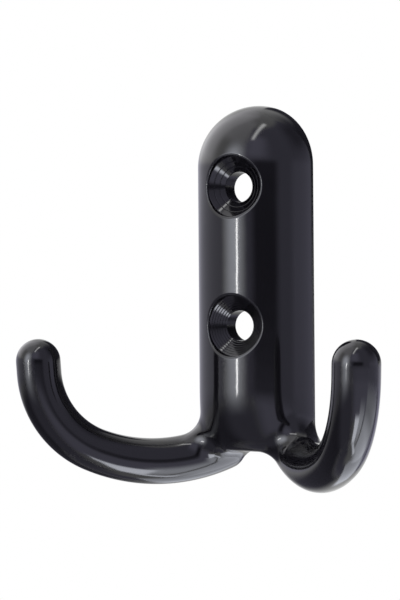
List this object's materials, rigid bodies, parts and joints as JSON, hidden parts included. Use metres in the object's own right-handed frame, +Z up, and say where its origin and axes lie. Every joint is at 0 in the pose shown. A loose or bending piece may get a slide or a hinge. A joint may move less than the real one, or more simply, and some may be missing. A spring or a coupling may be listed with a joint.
{
  "type": "double robe hook",
  "caption": "Moulded wall hook with a round-topped half-round plate, countersunk screw holes and a pair of upturned arms for robes and coats.",
  "frame": {"origin": "on the wall face, in the hook's middle plane, midway between the two screw holes", "axes": "+Z up, +Y into the wall, so the arms stand out towards -Y, one to +X and one to -X"},
  "size_m": [0.065, 0.026, 0.0624],
  "materials": {
    "black_plastic": "moulded black plastic with a smooth gloss and a very slight ripple"
  },
  "bodies": {
    "root": {"double_hook": "black_plastic"}
  },
  "joints": []
}
